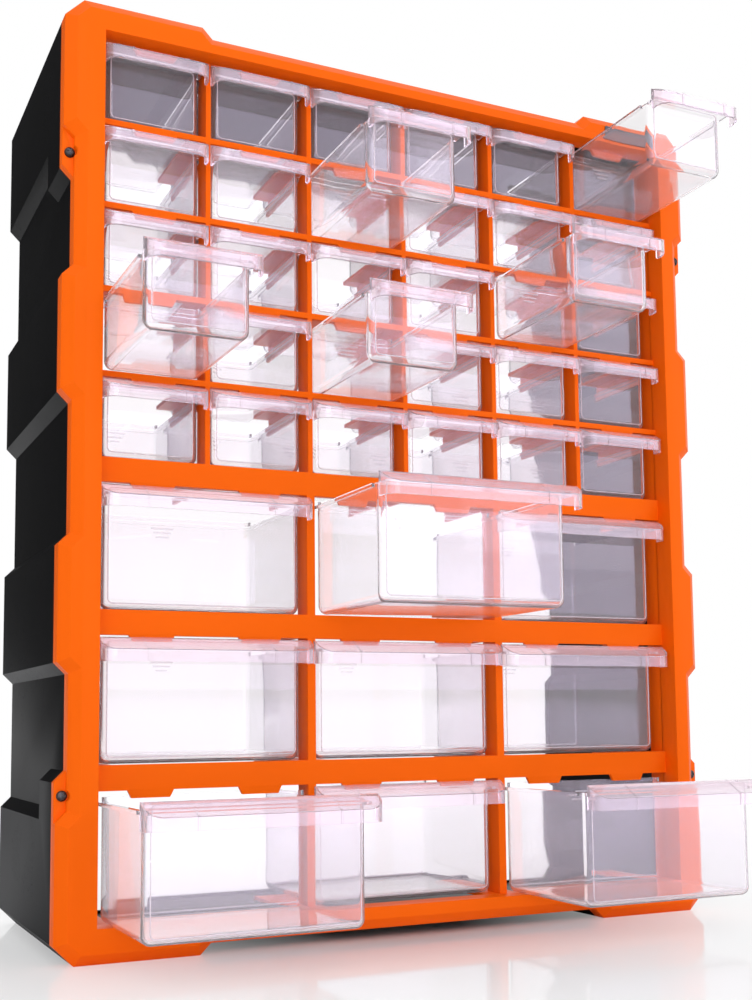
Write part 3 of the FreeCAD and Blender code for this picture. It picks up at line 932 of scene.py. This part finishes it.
# %% [markdown]
# ## Studio
# The photograph is a bright studio shot: a white surround, a pale glossy floor
# and large soft lamps. The surround shows white to the camera and to mirror-like
# and clear surfaces, but lights matt surfaces at a plain level. Toward the
# front and the sides the room is dimmer, and light that an edge of clear
# plastic bends that far draws the grey outlines of the drawers. A bright lilac
# sheet in front is seen only in glossy faces, and veils the drawers' panels.

# %% Floor
def seen_by(tree):
    """One number each for camera rays, mirrored rays and rays through clear plastic."""
    path = tree.nodes.new("ShaderNodeLightPath")
    kinds = ("Is Camera Ray", "Is Glossy Ray", "Is Transmission Ray")
    return [Wire(tree, path.outputs[kind]) for kind in kinds]


floor_mesh = bpy.data.meshes.new("studio_floor")
reach = 6.0
corners = [(x * reach, y * reach, 0) for x, y in ((-1, -1), (1, -1), (1, 1), (-1, 1))]
floor_mesh.from_pydata(corners, [], [(0, 1, 2, 3)])
floor = bpy.data.objects.new("studio_floor", floor_mesh)
bpy.context.scene.collection.objects.link(floor)
pale, tree, shader = new_plastic("pale_floor")
shader.inputs["Base Color"].default_value = (0.965, 0.975, 0.995, 1)
shader.inputs["Roughness"].default_value = 0.07
shader.inputs["Specular IOR Level"].default_value = 0.32
where = add(tree, "ShaderNodeTexCoord", output="Object")
away = add(tree, "ShaderNodeVectorMath", {0: where}, output=1, operation="LENGTH")
near = add(tree, "ShaderNodeMapRange", {"Value": away, "From Min": 0.04, "From Max": 0.38})
far = add(tree, "ShaderNodeMapRange", {"Value": away, "From Min": 1.5, "From Max": 4.0})
camera_ray, glossy_ray, clear_ray = seen_by(tree)
white = tree.nodes.new("ShaderNodeEmission")
faded = tree.nodes.new("ShaderNodeMixShader")
join_socket(tree, near * camera_ray + far * (glossy_ray + clear_ray > 0.5), faded.inputs[0])
tree.links.new(shader.outputs[0], faded.inputs[1])
tree.links.new(white.outputs[0], faded.inputs[2])
tree.links.new(faded.outputs[0], tree.nodes["Material Output"].inputs["Surface"])
floor_mesh.materials.append(pale)

# %% Surround and lamps
world = bpy.data.worlds.new("white_surround")
bpy.context.scene.world = world
world.use_nodes = True
tree = world.node_tree
camera_ray, glossy_ray, clear_ray = seen_by(tree)
toward = add(tree, "ShaderNodeTexCoord", output="Generated")
x, y, z = [add(tree, "ShaderNodeSeparateXYZ", {"Vector": toward}, output=i) for i in range(3)]
side = add(tree, "ShaderNodeMapRange", {"Value": x, "From Min": 0.16, "From Max": 0.04})
behind = add(tree, "ShaderNodeMapRange", {"Value": y, "From Min": 0.2, "From Max": 0.6})
black_card = side * behind * glossy_ray * 0.96
aside = add(tree, "ShaderNodeMapRange", {"Value": y, "From Min": 0.5, "From Max": 0.2})
dim_room = aside * clear_ray * 0.6
front = add(tree, "ShaderNodeMapRange", {"Value": y, "From Min": -0.1, "From Max": -0.5}) * glossy_ray
plain_light, front_gain = 0.84, 2.7
strength = (camera_ray + glossy_ray + clear_ray > 0.5) * (1.0 - plain_light) + plain_light
strength = strength * (1.0 - black_card) * (1.0 - dim_room)
strength = strength * (1.0 + front * front_gain)
background = tree.nodes["Background"]
join_socket(tree, mixed(tree, front, (1.0, 1.0, 1.0, 1), (0.89, 0.81, 1.0, 1)), background.inputs["Color"])
join_socket(tree, strength, background.inputs["Strength"])


def soft_lamp(name, place, target, size, watts, mirrored=True):
    lamp = bpy.data.lights.new(name, "AREA")
    lamp.shape = "RECTANGLE"
    lamp.size, lamp.size_y = size
    lamp.energy = watts
    piece = bpy.data.objects.new(name, lamp)
    piece.location = place
    piece.rotation_euler = (Vector(target) - Vector(place)).to_track_quat("-Z", "Y").to_euler()
    piece.visible_camera = piece.visible_glossy = piece.visible_transmission = mirrored
    bpy.context.scene.collection.objects.link(piece)


soft_lamp("key_lamp", (-0.6, -1.7, 0.7), (0, 0, 0.25), (1.2, 1.0), 7)
soft_lamp("fill_lamp", (1.2, -1.5, 0.9), (0, 0, 0.25), (0.9, 1.2), 3)
soft_lamp("rear_lamp", (0.55, 1.5, 0.4), (0, 0.1, 0.25), (0.8, 0.9), 7, mirrored=False)

# %% [markdown]
# ## Camera
# The camera stands low and to the left and looks slightly up. Its place, turn
# and focal length come from matching the corners of the border and the grid in
# the photograph to the same corners of the model.

# %% Camera
yaw, pitch, roll = math.radians(26.07), math.radians(5.38), math.radians(-0.67)
ahead = Vector((math.sin(yaw) * math.cos(pitch), math.cos(yaw) * math.cos(pitch), math.sin(pitch)))
right = Vector((math.cos(yaw), -math.sin(yaw), 0.0))
up = right.cross(ahead)
level_right = right * math.cos(roll) + up * math.sin(roll)
level_up = up * math.cos(roll) - right * math.sin(roll)
lens = bpy.data.cameras.new("camera")
lens.sensor_fit = "VERTICAL"
lens.sensor_height = 36.0
lens.lens = 46.47
lens.shift_x = -0.0209
lens.shift_y = 0.1013
lens.clip_start = 0.01
camera = bpy.data.objects.new("camera", lens)
turn = Matrix((level_right, level_up, -ahead)).transposed().to_4x4()
camera.matrix_world = Matrix.Translation((-0.3139, front_y - 0.6164, 0.1119)) @ turn
bpy.context.scene.collection.objects.link(camera)
bpy.context.scene.camera = camera

# %% Render depth and view
scene = bpy.context.scene
scene.view_settings.view_transform = "Standard"
scene.cycles.max_bounces = 24
scene.cycles.transmission_bounces = 24
scene.cycles.transparent_max_bounces = 48
scene.cycles.glossy_bounces = 8
